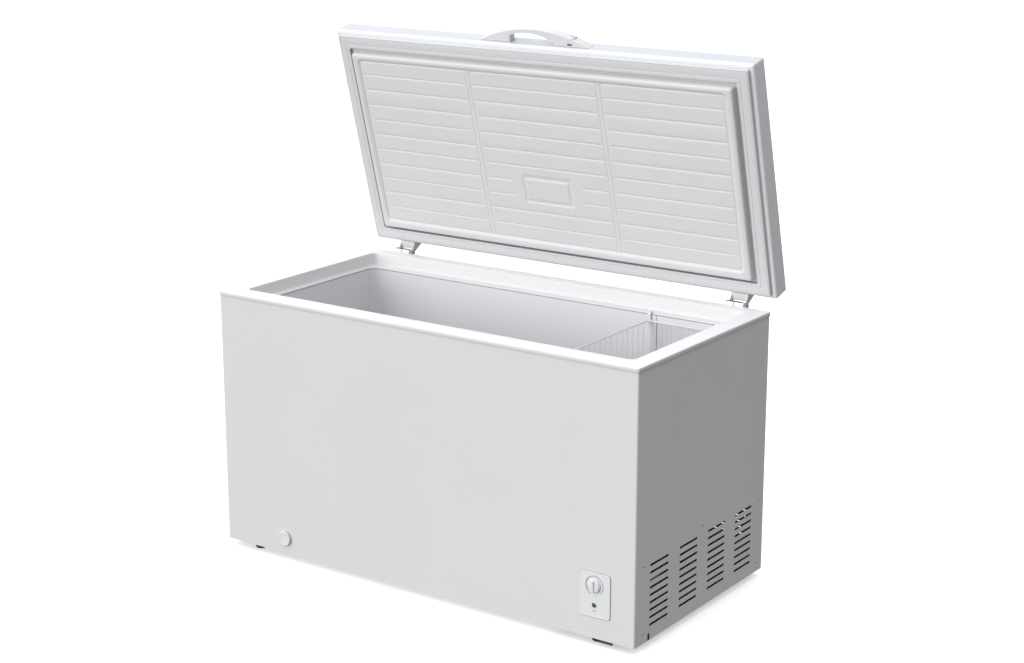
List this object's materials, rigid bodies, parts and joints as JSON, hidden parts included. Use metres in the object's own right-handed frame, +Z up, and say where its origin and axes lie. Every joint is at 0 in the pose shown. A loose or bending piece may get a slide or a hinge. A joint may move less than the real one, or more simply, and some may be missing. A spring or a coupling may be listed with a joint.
{
  "type": "chest freezer",
  "caption": "Long white chest freezer with a hinged insulated lid, front drain and control panel, side vents, a hanging wire basket and its cooling parts inside.",
  "frame": {"origin": "on the floor below the middle of the cabinet", "axes": "+X to the right along the width, +Y from the front sheet to the back, +Z up; the lid is drawn 75 degrees open"},
  "size_m": [1.425, 0.8032, 1.5333],
  "materials": {
    "white_paint": "smooth satin paint",
    "white_plastic": "smooth moulded plastic",
    "lid_liner_plastic": "thermoformed, fine satin",
    "liner_metal": "stucco-embossed painted sheet",
    "galvanised": "galvanised",
    "foam": "closed-cell foam",
    "gasket": "soft vinyl, matte",
    "black_paint": "satin black",
    "dark_steel": "dark grey coat",
    "black_rubber": "matte",
    "black_plastic": "fine grain",
    "copper": "drawn copper tube",
    "zinc": "zinc plated",
    "spring_steel": "oiled spring wire",
    "green_lens": "clear green lens",
    "cable": "matte sheath",
    "wire_coat": "vinyl-coated wire"
  },
  "bodies": {
    "cabinet": {"cabinet_wrap": "white_paint", "rear_panel": "galvanised", "bottom_panel": "galvanised", "cabinet_foam": "foam", "inner_liner": "liner_metal", "rim_collar": "white_plastic", "base_tray": "dark_steel", "bay_frame": "galvanised", "rear_cover": "galvanised", "panel_screws": "zinc", "evaporator_tube": "copper", "condenser_tube": "copper", "compressor": "black_paint", "compressor_cradle": "dark_steel", "compressor_grommets": "black_rubber", "compressor_bolts": "zinc", "relay_cover": "black_plastic", "filter_drier": "copper", "suction_tube": "copper", "discharge_tube": "copper", "capillary_tube": "copper", "wiring_harness": "cable", "cord_gland": "black_plastic", "thermostat_body": "zinc", "sensor_tube": "copper", "control_panel": "white_plastic", "pilot_lamp": "green_lens", "drain_sleeve": "white_plastic", "drain_elbow": "white_plastic", "foot_front_left": "black_plastic", "foot_front_right": "black_plastic", "foot_rear_left": "black_plastic", "foot_rear_right": "black_plastic", "foot_bracket": "dark_steel", "base_plug": "black_plastic", "hinge_bracket_left": "white_paint", "hinge_bracket_right": "white_paint", "hinge_pin_left": "zinc", "hinge_pin_right": "zinc", "hinge_spring_left": "spring_steel", "hinge_spring_right": "spring_steel", "hinge_bracket_screws": "zinc"},
    "lid": {"lid_shell": "white_paint", "lid_foam": "foam", "lid_liner": "lid_liner_plastic", "lid_gasket": "gasket", "lid_handle": "white_plastic", "handle_screws": "zinc", "hinge_leaf_left": "white_paint", "hinge_leaf_right": "white_paint", "hinge_leaf_screws": "zinc"},
    "lid_lock": {"lock_cylinder": "zinc", "lock_tongue": "dark_steel"},
    "knob": {"thermostat_knob": "white_plastic", "thermostat_spindle": "zinc"},
    "spout": {"drain_spout": "white_plastic"},
    "dial": {"drain_dial": "white_plastic"},
    "floor_plug": {"drain_plug": "white_plastic"},
    "basket": {"wire_basket": "wire_coat"}
  },
  "joints": [
    {"name": "lid_hinge", "type": "hinge", "parent": "cabinet", "child": "lid", "pos_m": [0, 0.375, 0.777], "axis": [-1, 0, 0], "range_deg": [-75, 10], "stiffness_Nm_per_rad": 17, "springref_deg": 17.19, "deforming": ["hinge_spring_left", "hinge_spring_right"]},
    {"name": "lock_turn", "type": "hinge", "parent": "lid", "child": "lid_lock", "pos_m": [0.128, 0.23121, 1.48749], "axis": [0, -0.2588, 0.9659], "range_deg": [0, 90]},
    {"name": "knob_turn", "type": "hinge", "parent": "cabinet", "child": "knob", "pos_m": [0.587, -0.3585, 0.169], "axis": [0, -1, 0], "range_deg": [-135, 135]},
    {"name": "spout_slide", "type": "slide", "parent": "cabinet", "child": "spout", "axis": [0, -1, 0], "range_m": [0, 0.035]},
    {"name": "dial_turn", "type": "hinge", "parent": "spout", "child": "dial", "pos_m": [-0.485, -0.3509, 0.067], "axis": [0, -1, 0], "range_deg": [0, 180]},
    {"name": "plug_lift", "type": "slide", "parent": "cabinet", "child": "floor_plug", "axis": [0, 0, 1], "range_m": [0, 0.08]},
    {"name": "basket_lift", "type": "slide", "parent": "cabinet", "child": "basket", "axis": [0, 0, 1], "range_m": [0, 0.3]}
  ]
}
